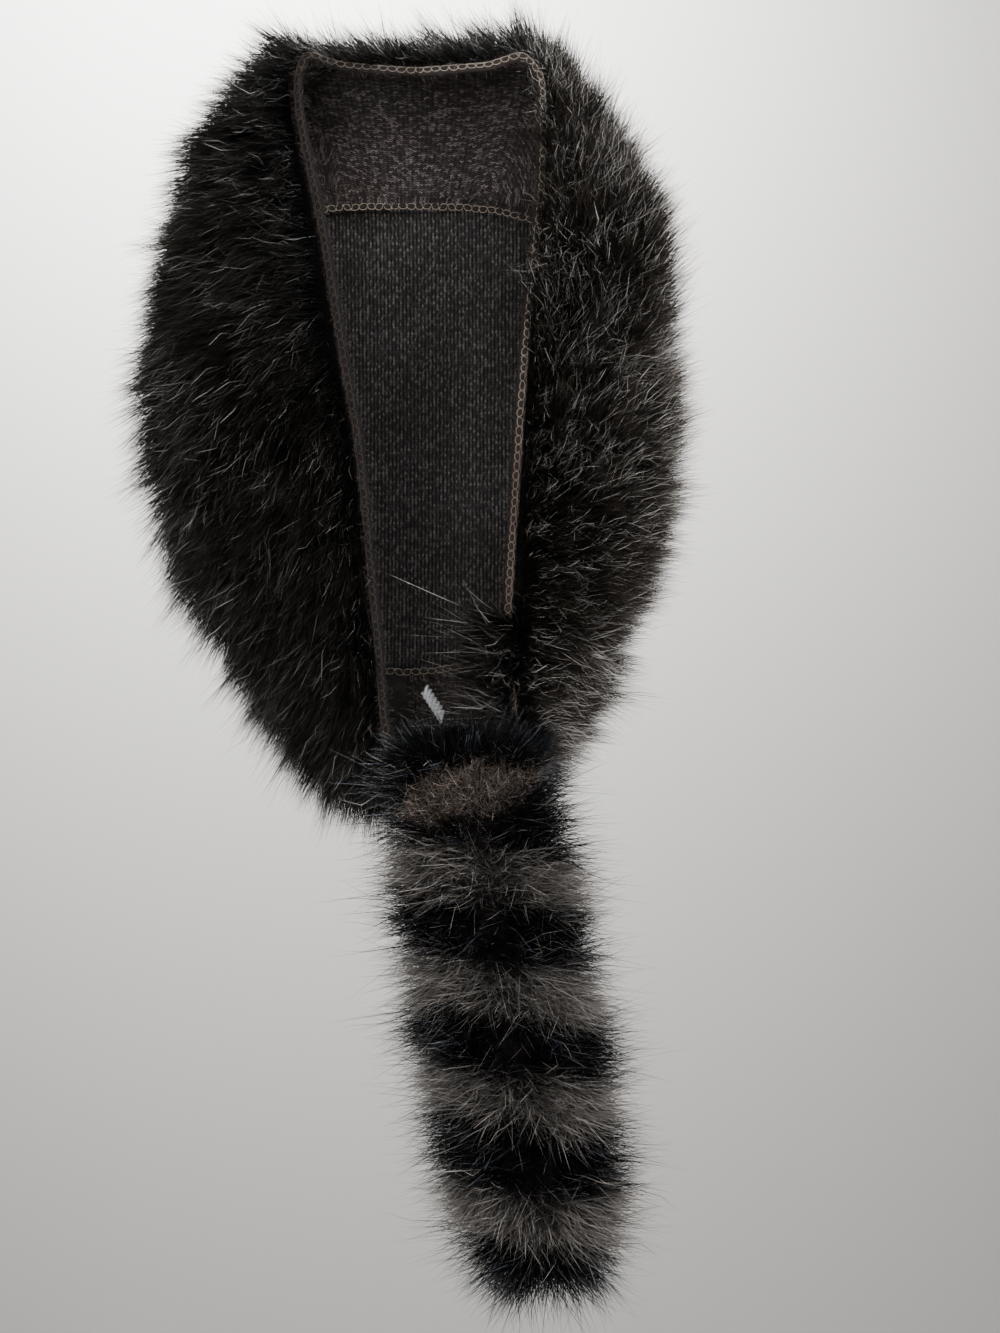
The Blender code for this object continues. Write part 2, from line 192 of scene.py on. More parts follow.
# The tail's pile: how it parts down its front, and how its strands lean, stray and bend
PARTING_HALF = 0.25
PARTING_STRAY = 0.8
PARTING_LEAN = 0.55
TAIL_DOWN = (0, 0, -0.08)
TAIL_STRAY = 0.42
TAIL_STRAY_WAYS = (1, 1, 0.6)
TAIL_FLOW = 0.28
TAIL_FLOW_SIZE = 0.020
TAIL_FLOW_WAYS = (1, 1, 0.5)
TAIL_SHORTEST = 0.42
TAIL_SPREAD = 0.60
TAIL_BETA = (1.3, 1.9)
TAIL_DROOP = (0.0, 0.0, -0.04)
TAIL_BEND = (0.18, 0.18, 0.10)
TAIL_PULL = 0.45

# Guard hairs that stand out to the tail's sides: a share of those on black stripes are grey too, partly the
# tail's own grey hair and partly painted light, the outline lit from behind
FRINGE = 0.75
FRINGE_SHARE = 0.5

# The crest, which fans out upward, and is shorter to its sides
CREST_REACH = 0.018
CREST_AREA = 0.0008
CREST_FAN = 0.8
CREST_FORWARD = 0.35
CREST_UPWARD = 1.3
CREST_ROUND = 0.5
CREST_OUTWARD = 0.20
CREST_STRAY = 0.22
CREST_SHARES = (0.34, 0.74)
CREST_SIDES_SHORTER = 0.25
CREST_DROOP = (0.0, -0.05, -0.05)
CREST_BEND = 0.15
CREST_PULL = 0.5
# The crest's tones are raised to this power, so fewer of its strands carry the painted glints.
CREST_SHADE = 1.5

# The patch, as shares of the tail's length and half width
PATCH_MIDDLE = 0.066
PATCH_HALF = 0.054
PATCH_HALF_ACROSS = 0.96
PATCH_SLANT = 0.042
PATCH_EDGE = 0.006
PATCH_FACING = -0.25
PATCH_AREA = 0.0008
PATCH_LENGTHS = (0.0025, 0.0060)
PATCH_STRAY = 0.55
PATCH_BEND = 0.6

# Sizes of the sewing
LINK = 0.0028
THREAD_RADIUS = 0.00017
THREAD_SIDES = 4
RIM_RADIUS = 0.00140
RIM_SIDES = 12
RIM_STEP = 0.0012
RIM_CUTS = 720
SEAM_RADIUS = 0.00075
SEAM_SIDES = 8
SEAM_STEP = 0.0020
SEAM_CUTS = 480
SEAM_HALF_WIDTH = 0.0012
SEAM_HEIGHT = 0.0006
SEAM_HALF_TURN = 1.1
UNEVEN = 0.12
RIM_UNEVEN_SIZE = 0.010
THREAD_UNEVEN_SIZE = 0.006
THREAD_STEP = 0.0005
CORD_UV_EDGE = 0.02
FIBRE_STEP = 0.0008
FIBRE_SHIFT = 0.0006
FIBRE_STRAY = 0.9
FIBRE_AREA = 0.000001
FIBRE_WIDTH = 0.00010
FIBRE_CURL = 0.0004
FIBRE_LENGTHS = (0.0010, 0.0030)

# Sizes of the knit
WALE = 0.0013
COURSE = 0.00105
KNIT_SPAN = 0.8
KNIT_DENTS = 0.0003
KNIT_DENT_SIZE = 0.035
KNIT_BUMP = 0.0004
THREAD_BUMP = 0.0001


def unit(vectors):
    return vectors / np.maximum(np.linalg.norm(vectors, axis=-1, keepdims=True), 1e-12)


def node_arrays(node):
    """A CAD node's welded points and triangles."""
    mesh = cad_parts[node].data
    mesh.calc_loop_triangles()
    points = np.empty(len(mesh.vertices) * 3)
    mesh.vertices.foreach_get("co", points)
    triangles = np.empty(len(mesh.loop_triangles) * 3, dtype=np.int64)
    mesh.loop_triangles.foreach_get("vertices", triangles)
    points = points.reshape(-1, 3)
    keys = np.round(points * 1e6).astype(np.int64)
    _, first, place = np.unique(keys, axis=0, return_index=True, return_inverse=True)
    return points[first], place.reshape(-1)[triangles].reshape(-1, 3)


def corner_normals(points, triangles):
    """Smooth normals at the points, and each triangle's area."""
    a, b, c = (points[triangles[:, k]] for k in range(3))
    across = np.cross(b - a, c - a)
    normals = np.zeros_like(points)
    for k in range(3):
        np.add.at(normals, triangles[:, k], across)
    return unit(normals), np.linalg.norm(across, axis=1) / 2


class Skin:
    """The outer face of a node that carries pile: the triangles that lie under its pile node."""

    def __init__(self, node, pile_node):
        points, triangles = node_arrays(node)
        pile_points, pile_triangles = node_arrays(pile_node)
        pile = BVHTree.FromPolygons(pile_points.tolist(), pile_triangles.tolist())
        middles = points[triangles].mean(axis=1)
        under = [pile.find_nearest(Vector(m))[3] < SKIN_GAP for m in middles]
        triangles = triangles[under]
        used, place = np.unique(triangles, return_inverse=True)
        self.points = points[used]
        self.triangles = place.reshape(-1, 3)
        self.normals, self.areas = corner_normals(self.points, self.triangles)

    def scatter(self, count, rng):
        """Random points spread evenly over the skin, and its normals there."""
        chosen = rng.choice(len(self.areas), size=count, p=self.areas / self.areas.sum())
        u, v = rng.random((2, count))
        over = u + v > 1
        u[over], v[over] = 1 - u[over], 1 - v[over]
        shares = np.stack([1 - u - v, u, v], axis=1)[:, :, None]
        corners = self.triangles[chosen]
        roots = (self.points[corners] * shares).sum(axis=1)
        normals = unit((self.normals[corners] * shares).sum(axis=1))
        return roots, normals


def add_piece(name, mesh, slot, *replaced):
    piece = bpy.data.objects.new(name, mesh)
    bpy.context.scene.collection.objects.link(piece)
    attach(piece, "root")
    if replaced:
        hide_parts(*replaced)


def mesh_of(name, points, triangles, corner_uv, material):
    """A smooth mesh whose corners have the given places on the UV map."""
    mesh = bpy.data.meshes.new(name)
    mesh.from_pydata(points, [], triangles)
    mesh.shade_smooth()
    layer = mesh.uv_layers.new(name=UV_NAME)
    layer.data.foreach_set("uv", np.asarray(corner_uv, dtype=np.float32).ravel())
    mesh.materials.append(material)
    return mesh


# Fur


class StrandForm:
    """A tapered strip: two corners at each joint from the root on, and one at the tip."""

    def __init__(self, joints, waves):
        steps = np.repeat(np.arange(joints) / joints, 2)
        self.steps = np.append(steps, 1.0)
        self.sides = np.append(np.tile([-1.0, 1.0], joints), 0.0)
        self.taper = 1 - self.steps**3
        self.waves = math.tau * waves
        last = 2 * joints
        strip = [(last - 2, last - 1, last)]
        for k in range(0, last - 2, 2):
            strip += [(k, k + 1, k + 3), (k, k + 3, k + 2)]
        self.triangles = np.array(strip)


PILE = StrandForm(joints=2, waves=0.7)
GUARD = StrandForm(joints=4, waves=1.7)
SHORT = StrandForm(joints=3, waves=1.0)


def flow(points, size, rng):
    """A smooth random vector at each point, about one long, that changes over the given size."""
    total = np.zeros_like(points)
    waves = 8
    for _ in range(waves):
        wave = unit(rng.normal(size=3)) * math.tau / (size * rng.uniform(0.7, 1.6))
        total += np.sin(points @ wave + rng.uniform(0, math.tau))[:, None] * rng.normal(size=3)
    return total / math.sqrt(waves)


def nearest_of(roots, spacing, area, rng):
    """For each root, which of a few roots, about the spacing apart, is nearest."""
    centres = rng.choice(len(roots), size=max(1, int(area / spacing**2)), replace=False)
    tree = KDTree(len(centres))
    for k in centres:
        tree.insert(roots[k], int(k))
    tree.balance()
    return np.array([tree.find(root)[1] for root in roots])


def kept_near(roots, points):
    """The strands, each made shorter where it would stand too far out of the CAD's box."""
    lo, hi = (np.array(corner) for corner in CAD_BOX)
    roots = roots[:, None]
    ways = points - roots
    room = np.where(ways > 0, hi + BOX_MARGIN - roots, roots - lo + BOX_MARGIN)
    shares = (room / np.maximum(np.abs(ways), 1e-9)).min(axis=(1, 2))
    return roots + ways * np.minimum(shares, 1)[:, None, None]


class Pile:
    """Strands before they are a mesh: their roots, directions, lengths and how they bend."""

    def __init__(self, roots, ways, lengths, area, rng):
        self.roots = roots
        self.ways = unit(ways)
        self.lengths = lengths
        self.count = len(roots)
        self.tuft = nearest_of(roots, TUFT_SPACING, area, rng)
        self.lock = nearest_of(roots, LOCK_SPACING, area, rng)
        self.droop = np.zeros((self.count, 3))
        self.curl = STRAND_CURL
        self.pull = np.zeros(self.count)
        self.hold = np.zeros(self.count)
        self.width = STRAND_WIDTH
        self.shade = np.ones(self.count)

    def part(self, chosen):
        """Some of the strands, which keep the tufts of the whole."""
        tips = self.roots + self.ways * self.lengths[:, None]
        new = object.__new__(Pile)
        new.roots, new.ways, new.lengths = self.roots[chosen], self.ways[chosen], self.lengths[chosen]
        new.count = len(new.roots)
        new.droop, new.curl, new.width = self.droop[chosen], self.curl, self.width
        new.shade = self.shade[chosen]
        to_tuft = (tips[self.tuft] - tips) * self.pull[:, None]
        to_lock = (tips[self.lock] - tips) * self.hold[:, None]
        new.drawn = (to_tuft + to_lock)[chosen]
        return new

    def mesh(self, name, form, material, rng):
        side = unit(np.cross(self.ways, unit(rng.normal(size=(self.count, 3)))))
        front = np.cross(side, self.ways)
        turns = rng.uniform(0, math.tau, size=(2, self.count))
        widths = self.width * rng.uniform(*WIDTHS, size=self.count)
        curls = self.curl * rng.uniform(*CURLS, size=self.count)
        corners = len(form.steps)
        points = np.empty((self.count, corners, 3))
        normals = np.empty((self.count, corners, 3))
        for k, (step, taper, hand) in enumerate(zip(form.steps, form.taper, form.sides)):
            line = self.roots + self.ways * (self.lengths * step)[:, None]
            line += self.droop * (self.lengths * step**2)[:, None] + self.drawn * step**1.5
            waves = (np.sin(turns + step * form.waves) - np.sin(turns)) * curls * math.sqrt(step)
            line += front * waves[0][:, None] + side * waves[1][:, None]
            points[:, k] = line + side * (widths * taper * hand / 2)[:, None]
            normals[:, k] = unit(front + side * hand)
        points = kept_near(self.roots, points)
        starts = np.arange(self.count)[:, None, None] * corners
        triangles = (starts + form.triangles[None]).reshape(-1, 3)
        tones = rng.uniform(*TONES, size=self.count) ** self.shade
        uv = np.empty((self.count, corners, 2))
        uv[:, :, 0] = tones[:, None] + form.sides * UV_EDGE
        uv[:, :, 1] = UV_EDGE + (1 - 2 * UV_EDGE) * form.steps
        corner_uv = uv.reshape(-1, 2)[triangles.ravel()]
        mesh = mesh_of(name, points.reshape(-1, 3), triangles, corner_uv, material)
        mesh.normals_split_custom_set_from_vertices(normals.reshape(-1, 3))
        return mesh


def add_fur(name, pile, form, material, rng, slot, replaced, chosen=slice(None)):
    """A piece of all of a pile's strands, or of the chosen ones."""
    add_piece(name, pile.part(chosen).mesh(name, form, material, rng), slot, replaced)


def undercoat(name, skin, material, slot, replaced):
    """A dark layer under the pile, so that nothing shows between the strands."""
    outer = skin.points + skin.normals * (UNDERCOAT + SKIN_GAP)
    inner = skin.points + skin.normals * SKIN_GAP / 2
    count = len(skin.points)
    directed = skin.triangles[:, [0, 1, 1, 2, 2, 0]].reshape(-1, 2)
    edges = np.sort(directed, axis=1)
    _, place, uses = np.unique(edges, axis=0, return_inverse=True, return_counts=True)
    open_edges = directed[uses[place.reshape(-1)] == 1]
    a, b = open_edges[:, 0], open_edges[:, 1]
    walls = np.concatenate([
        np.stack([b, a, a + count], axis=1),
        np.stack([b, a + count, b + count], axis=1),
    ])
    triangles = np.concatenate([skin.triangles[:, ::-1], skin.triangles + count, walls])
    points = np.concatenate([inner, outer])
    uv = (points[:, [0, 2]] + KNIT_SPAN / 2) / KNIT_SPAN
    mesh = mesh_of(name, points, triangles, uv[triangles.ravel()], material)
    add_piece(name, mesh, slot, replaced)


# Materials


def new_material(name, roughness, specular=0.5):
    material = bpy.data.materials.new(name)
    material.use_nodes = True
    shader = material.node_tree.nodes["Principled BSDF"]
    shader.inputs["Roughness"].default_value = roughness
    shader.inputs["Specular IOR Level"].default_value = specular
    return material, material.node_tree, shader


def uv_of(tree):
    node = tree.nodes.new("ShaderNodeUVMap")
    node.uv_map = UV_NAME
    split = tree.nodes.new("ShaderNodeSeparateXYZ")
    tree.links.new(node.outputs["UV"], split.inputs[0])
    return node.outputs["UV"], split.outputs["X"], split.outputs["Y"]


def math_node(tree, operation, *values):
    node = tree.nodes.new("ShaderNodeMath")
    node.operation = operation
    for socket, value in zip(node.inputs, values):
        if isinstance(value, (int, float)):
            socket.default_value = value
        else:
            tree.links.new(value, socket)
    return node.outputs[0]


def ramp_node(tree, factor, stops):
    node = tree.nodes.new("ShaderNodeValToRGB")
    elements = node.color_ramp.elements
    while len(elements) < len(stops):
        elements.new(0.5)
    for element, (place, colour) in zip(elements, stops):
        element.position = place
        element.color = (*colour, 1)
    tree.links.new(factor, node.inputs["Fac"])
    return node.outputs["Color"]


def multiplied(tree, share, first, second):
    """The first colour multiplied by the second, by the given share."""
    node = tree.nodes.new("ShaderNodeMixRGB")
    node.blend_type = "MULTIPLY"
    node.inputs[0].default_value = share
    tree.links.new(first, node.inputs[1])
    tree.links.new(second, node.inputs[2])
    return node.outputs[0]


def noise_node(tree, vector, scale, detail):
    node = tree.nodes.new("ShaderNodeTexNoise")
    node.inputs["Scale"].default_value = scale
    node.inputs["Detail"].default_value = detail
    tree.links.new(vector, node.inputs["Vector"])
    return node.outputs["Fac"]


def bumped(tree, shader, height, strength, depth):
    node = tree.nodes.new("ShaderNodeBump")
    node.inputs["Strength"].default_value = strength
    node.inputs["Distance"].default_value = depth
    tree.links.new(height, node.inputs["Height"])
    tree.links.new(node.outputs[0], shader.inputs["Normal"])


def fur_material(name, stops, tones, roughness, specular=0.5):
    """stops are colours from root to tip, and tones the shades that strands differ by."""
    material, tree, shader = new_material(name, roughness, specular)
    _, u, v = uv_of(tree)
    along = ramp_node(tree, v, stops)
    tone = ramp_node(tree, u, tones)
    tree.links.new(multiplied(tree, 1.0, along, tone), shader.inputs["Base Color"])
    return material


def knit_material(name, dark, light, warm, cell, rib):
    """Fine knit of heathered yarn: V stitches in wales across the map and courses along it.

    cell is how many wales a length of one shade of yarn covers, and rib how strongly the grooves
    between wales show against those between courses. Each row's yarn starts at a place of its own.
    Besides the bump, the colour is darkened in the grooves, painted shade, and lightened on the
    ridge tops, painted light.
    """
    stitch_lean = 1.2
    row_turn, row_shift = 12.9, 3.7
    patch_scale, patch_detail, fading = 26.0, 3.0, 0.8
    dark_share, relief = 0.65, 0.7
    material, tree, shader = new_material(name, 0.9, 0.15)
    uv, u, v = uv_of(tree)
    wales = math_node(tree, "MULTIPLY", u, KNIT_SPAN / WALE)
    centred = math_node(tree, "SUBTRACT", math_node(tree, "FRACT", wales), 0.5)
    across = math_node(tree, "ABSOLUTE", centred)
    courses = math_node(tree, "MULTIPLY", v, KNIT_SPAN / COURSE)
    leaned = math_node(tree, "ADD", courses, math_node(tree, "MULTIPLY", across, stitch_lean))
    row = math_node(tree, "FLOOR", leaned)
    swing = math_node(tree, "SINE", math_node(tree, "MULTIPLY", row, row_turn))
    shift = math_node(tree, "MULTIPLY", swing, row_shift)
    length = math_node(tree, "DIVIDE", wales, cell)
    column = math_node(tree, "FLOOR", math_node(tree, "ADD", length, shift))
    place = tree.nodes.new("ShaderNodeCombineXYZ")
    tree.links.new(column, place.inputs["X"])
    tree.links.new(row, place.inputs["Y"])
    random = tree.nodes.new("ShaderNodeTexWhiteNoise")
    random.noise_dimensions = "2D"
    tree.links.new(place.outputs[0], random.inputs["Vector"])
    yarn = random.outputs["Value"]
    within = math_node(tree, "FRACT", leaned)
    strand = math_node(tree, "SINE", math_node(tree, "MULTIPLY", within, math.pi))
    ridge = math_node(tree, "COSINE", math_node(tree, "MULTIPLY", across, math.pi))
    wale = math_node(tree, "MULTIPLY_ADD", ridge, rib, 1 - rib)
    height = math_node(tree, "MULTIPLY", wale, math_node(tree, "MULTIPLY_ADD", strand, 1 - rib, rib))
    patches = noise_node(tree, uv, patch_scale, patch_detail)
    some = tuple((1 - dark_share) * a + dark_share * b for a, b in zip(light, dark))
    base = ramp_node(tree, yarn, [(0.0, dark), (0.30, dark), (0.72, some), (1.0, light)])
    # Painted shade and light: the colour darkens in the grooves between wales and courses and lightens on
    # the ridge tops
    shade = ramp_node(tree, height, [(0.15, (0.08,) * 3), (0.6, (0.75,) * 3), (1.0, (1.9,) * 3)])
    faded = ramp_node(tree, patches, [(0.35, warm), (0.65, (1, 1, 1))])
    base = multiplied(tree, fading, multiplied(tree, 1.0, base, shade), faded)
    tree.links.new(base, shader.inputs["Base Color"])
    bumped(tree, shader, height, relief, KNIT_BUMP)
    return material


def thread_material(name, dark, light, roughness, tones):
    """Twisted thread: the map runs along the thread and round it. tones are its shades along its run."""
    twists, plies = 900.0, 2.0
    wear_scale, wear_detail, wearing = 160.0, 2.0, 0.8
    relief = 0.5
    material, tree, shader = new_material(name, roughness, 0.25)
    uv, u, v = uv_of(tree)
    along = math_node(tree, "MULTIPLY", u, twists)
    twist = math_node(tree, "ADD", along, math_node(tree, "MULTIPLY", v, plies))
    ply = math_node(tree, "SINE", math_node(tree, "MULTIPLY", twist, math.pi))
    ply = math_node(tree, "ABSOLUTE", ply)
    # Painted shade: the thread is darker where its plies meet
    base = ramp_node(tree, ply, [(0.0, dark), (0.55, light)])
    wear = noise_node(tree, uv, wear_scale, wear_detail)
    worn = ramp_node(tree, wear, [(0.3, (0.45,) * 3), (0.7, (1.2,) * 3)])
    base = multiplied(tree, wearing, base, worn)
    base = multiplied(tree, 1.0, base, ramp_node(tree, u, tones))
    tree.links.new(base, shader.inputs["Base Color"])
    bumped(tree, shader, ply, relief, THREAD_BUMP)
    return material


def plain_material(name, colour, roughness, specular):
    material, tree, shader = new_material(name, roughness, specular)
    uv, _, _ = uv_of(tree)
    mottle_scale, mottle_detail = 60.0, 3.0
    darker, lighter = 0.6, 1.4
    mottled = noise_node(tree, uv, mottle_scale, mottle_detail)
    shades = [(0.3, tuple(c * darker for c in colour)), (0.7, tuple(c * lighter for c in colour))]
    tree.links.new(ramp_node(tree, mottled, shades), shader.inputs["Base Color"])
    return material


# Pieces of the cap


def crown_middle():
    lo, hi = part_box("crown_backing")
    return np.array((lo + hi) / 2)


def cap_pile(skin, count, rim, rng):
    """The cap's pile leans anticlockwise round the crown as seen from in front, and down on the left."""
    roots, normals = skin.scatter(count, rng)
    aside = roots - crown_middle()
    above = np.where(aside[:, 0] < 0, np.maximum(aside[:, 2], 0), aside[:, 2])
    around = unit(np.stack([-above, np.zeros(count), aside[:, 0]], axis=1))
    near = np.array([rim.find(root)[2] for root in roots])
    away = unit(roots - np.array([rim.find(root)[0] for root in roots]))
    by_rim = np.exp(-(near / RIM_REACH) ** 2)
    ways = normals + around * CAP_LEAN + away * AWAY_FROM_RIM * by_rim[:, None]
    ways = ways + np.array([0, -FORWARD_AT_RIM, 0]) * by_rim[:, None]
    inward = (rng.random(count) < INWARD_SHARE) * rng.uniform(*INWARD_LEAN, size=count)
    ways -= normals * (by_rim * inward)[:, None]
    ways = ways + flow(roots, CAP_FLOW_SIZE, rng) * CAP_FLOW
    ways = unit(ways + rng.normal(size=(count, 3)) * CAP_STRAY)
    shares = CAP_SHORTEST + CAP_SPREAD * rng.beta(*CAP_BETA, size=count)
    lengths = CAP_PILE * shares * (1 - SHORTER_AT_RIM * by_rim)
    pile = Pile(roots, ways, lengths, skin.areas.sum(), rng)
    stray = rng.normal(size=(count, 3))
    down = np.array([0.0, 0.0, -CAP_DROOP])
    pile.droop = down + TUFT_BEND * stray[pile.tuft] + LOCK_BEND * stray[pile.lock]
    pile.pull = rng.uniform(0.0, CAP_PULL, size=count)
    pile.hold = rng.uniform(*CAP_HOLD, size=count)
    # Painted light and shade: a tone power above one darkens a strand and below one lightens it. Strands
    # are darker on the left's inner part and lighter on its outer part and on the right.
    left = np.clip(-normals[:, 0] / SIDE_BLEND, 0, 1)
    right = np.clip(normals[:, 0] / SIDE_BLEND, 0, 1)
    inner = np.clip(1 + aside[:, 0] / CAP_HALF, 0, 1)
    darker = left * (INNER_LEFT_PAINTED_SHADE * inner - OUTER_LEFT_PAINTED_LIGHT)
    pile.shade = 1 + darker - right * (NEAR_RIGHT_PAINTED_LIGHT + FAR_RIGHT_PAINTED_LIGHT * normals[:, 0])
    return pile


def fold_pile(skin, rim, count, rng):
    """At the lower right, the cap's fur turns in over the rim."""
    roots, normals = skin.scatter(FOLD_TRIES * count, rng)
    low = (roots[:, 2] < FOLD_TOP) & (roots[:, 0] > FOLD_LEFT)
    roots, normals = roots[low], normals[low]
    near = np.array([rim.find(root)[2] for root in roots])
    chosen = np.argsort(near + rng.uniform(0, FOLD_REACH, size=len(near)))[:count]
    roots, normals = roots[chosen], normals[chosen]
    ways = normals * FOLD_OUTWARD + np.array(FOLD_RISE)
    ways = unit(ways + FOLD_STRAY * rng.normal(size=roots.shape))
    lengths = CAP_PILE * rng.uniform(*FOLD_SHARES, size=len(roots))
    pile = Pile(roots, ways, lengths, FOLD_AREA, rng)
    pile.droop = np.array(FOLD_DROOP) + FOLD_STRAY * rng.normal(size=roots.shape)[pile.tuft]
    pile.shade = np.full(len(roots), FOLD_SHADE)
    pile.pull = rng.uniform(0.0, FOLD_PULL, size=len(roots))
    return pile


def guards_of(pile, scale, stray, rng):
    """The pile made into guard hair: wider, curlier strands, less drawn to their tufts."""
    pile.lengths = pile.lengths * scale
    pile.width = GUARD_WIDTH
    pile.curl = GUARD_CURL
    pile.droop = pile.droop + stray * rng.normal(size=pile.droop.shape)
    pile.pull = pile.pull * GUARD_PULL
    return pile


def cap_materials():
    pile = fur_material(
        "cap_fur",
        [(0.0, (0.0008, 0.0007, 0.0006)), (0.50, (0.0018, 0.0016, 0.0014)),
         (0.80, (0.0066, 0.0056, 0.0047)), (1.0, (0.048, 0.040, 0.033))],
        [(0.0, (0.35, 0.34, 0.33)), (0.75, (0.9, 0.88, 0.85)), (1.0, (2.6, 2.5, 2.35))],
        0.38, 0.10,
    )
    # The guard hair's light tips are partly the fur's own lighter tips and partly painted glints.
    guard = fur_material(
        "cap_guard_hair",
        [(0.0, (0.002, 0.002, 0.002)), (0.55, (0.006, 0.0058, 0.0056)),
         (0.72, (0.105, 0.102, 0.098)), (1.0, (0.27, 0.258, 0.247))],
        [(0.0, (0.06, 0.058, 0.055)), (0.40, (0.26, 0.25, 0.24)),
         (0.72, (0.85, 0.83, 0.81)), (1.0, (2.5, 2.46, 2.42))],
        0.25, 0.30,
    )
    base = plain_material("cap_undercoat", (0.0022, 0.0019, 0.0017), 1.0, 0.04)
    return pile, guard, base


def make_cap_fur(band, crown, rim):
    pile_hair, guard_hair, base = cap_materials()
    rng = np.random.default_rng(SEED)
    places = ("right", "foot", "left")
    pile = cap_pile(band, len(places) * BAND_STRANDS, rim, rng)
    middle = crown_middle()
    turn = np.arctan2(pile.roots[:, 0] - middle[0], pile.roots[:, 2] - middle[2]) % math.tau
    order = np.argsort(turn)
    for k, place in enumerate(places):
        chosen = order[k * BAND_STRANDS:(k + 1) * BAND_STRANDS]
        add_fur(f"band_fur_{place}", pile, PILE, pile_hair, rng, "cap_fur", "band_pile", chosen)
    pile = guards_of(cap_pile(band, BAND_GUARDS, rim, rng), GUARD_SHARE, GUARD_STRAY, rng)
    add_fur("band_guard_hair", pile, GUARD, guard_hair, rng, "cap_fur", "band_pile")
    pile = fold_pile(band, rim, FOLD_STRANDS, rng)
    add_fur("fold_fur", pile, PILE, pile_hair, rng, "cap_fur", "band_pile")
    pile = guards_of(fold_pile(band, rim, FOLD_GUARDS, rng), FOLD_GUARD_SHARE, FOLD_GUARD_STRAY, rng)
    add_fur("fold_guard_hair", pile, GUARD, guard_hair, rng, "cap_fur", "band_pile")
    pile = cap_pile(crown, CROWN_STRANDS, rim, rng)
    add_fur("crown_fur", pile, PILE, pile_hair, rng, "cap_fur", "crown_pile")
    pile = guards_of(cap_pile(crown, CROWN_GUARDS, rim, rng), GUARD_SHARE, GUARD_STRAY, rng)
    add_fur("crown_guard_hair", pile, GUARD, guard_hair, rng, "cap_fur", "crown_pile")
    undercoat("band_undercoat", band, base, "cap_fur", "band_pile")
    undercoat("crown_undercoat", crown, base, "cap_fur", "crown_pile")


# Tail


class TailLine:
    """The tail's middle line, from its core, and places along and across it."""

    def __init__(self):
        points, _ = node_arrays("tail_core")
        self.slope, self.start = np.polyfit(points[:, 2], points[:, 0], 1)
        self.top = points[:, 2].max()
        self.length = self.top - points[:, 2].min()
        self.half_width = (points[:, 0] - self.middle(points[:, 2])).max()

    def middle(self, z):
        return self.start + self.slope * z

    def share(self, points):
        return (self.top - points[:, 2]) / self.length

    def across(self, points):
        return (points[:, 0] - self.middle(points[:, 2])) / self.half_width


def in_patch(share, across, normals):
    """Whether places on the tail are on the short, curly patch at its root. Its right end is higher."""
    place = (share - PATCH_MIDDLE + PATCH_SLANT * across) / PATCH_HALF
    return (normals[:, 1] < PATCH_FACING) & (place**2 + (across / PATCH_HALF_ACROSS) ** 2 < 1)


def tail_pile(skin, line, count, rng):
    """The tail's pile parts a little down its front. Also says which fur each strand is of."""
    roots, normals = skin.scatter(count, rng)
    share = line.share(roots)
    across = line.across(roots)
    kept = ~in_patch(share + PATCH_EDGE * rng.normal(size=count), across, normals)
    roots, normals, share, across = roots[kept], normals[kept], share[kept], across[kept]
    count = len(roots)
    side = np.clip(across / PARTING_HALF + rng.normal(size=count) * PARTING_STRAY, -1, 1)
    parted = side * (1 - np.abs(normals[:, 0])) * PARTING_LEAN
    stray = rng.normal(size=(count, 3)) * np.array(TAIL_STRAY_WAYS)
    ways = normals + parted[:, None] * np.array([1.0, 0, 0]) + np.array(TAIL_DOWN)
    together = TAIL_FLOW * flow(roots, TAIL_FLOW_SIZE, rng) * np.array(TAIL_FLOW_WAYS)
    ways = unit(ways + TAIL_STRAY * stray + together)
    lengths = TAIL_PILE * (TAIL_SHORTEST + TAIL_SPREAD * rng.beta(*TAIL_BETA, size=count))
    pile = Pile(roots, ways, lengths, skin.areas.sum(), rng)
    stray = rng.normal(size=(count, 3))
    pile.droop = np.array(TAIL_DROOP) + np.array(TAIL_BEND) * (stray[pile.tuft] + stray)
    pile.pull = rng.uniform(0.0, TAIL_PULL, size=count)
    pile.curl = TAIL_CURL
    slant = STRIPE_SLANT * across * (normals[:, 1] < SLANT_ENDS)
    place = share - slant + rng.normal(size=count) * STRIPE_EDGE
    stripe = np.searchsorted([end for _, end in STRIPES], place)
    furs = np.array([fur for fur, _ in STRIPES])
    return pile, furs[np.minimum(stripe, len(STRIPES) - 1)]


def crest_pile(skin, line, rng):
    """The black fur that stands up from the tail's root, over the foot of the rim."""
    roots, normals = skin.scatter(CREST_TRIES * CREST_STRANDS, rng)
    share = line.share(roots)
    chosen = np.argsort(share + rng.uniform(0, CREST_REACH, size=len(share)))[:CREST_STRANDS]
    roots, normals = roots[chosen], normals[chosen]
    across = line.across(roots)
    forward = np.full(len(roots), -CREST_FORWARD)
    up = CREST_UPWARD - CREST_ROUND * np.abs(across)
    fan = np.stack([across * CREST_FAN, forward, up], axis=1)
    ways = unit(fan + CREST_OUTWARD * normals + CREST_STRAY * rng.normal(size=roots.shape))
    shares = rng.uniform(*CREST_SHARES, size=len(roots))
    lengths = TAIL_PILE * shares * (1 - CREST_SIDES_SHORTER * across**2)
    pile = Pile(roots, ways, lengths, CREST_AREA, rng)
    pile.droop = np.array(CREST_DROOP) + CREST_BEND * rng.normal(size=roots.shape)[pile.tuft]
    pile.pull = rng.uniform(0.0, CREST_PULL, size=len(roots))
    pile.curl = CREST_CURL
    pile.shade = np.full(len(roots), CREST_SHADE)
    return pile


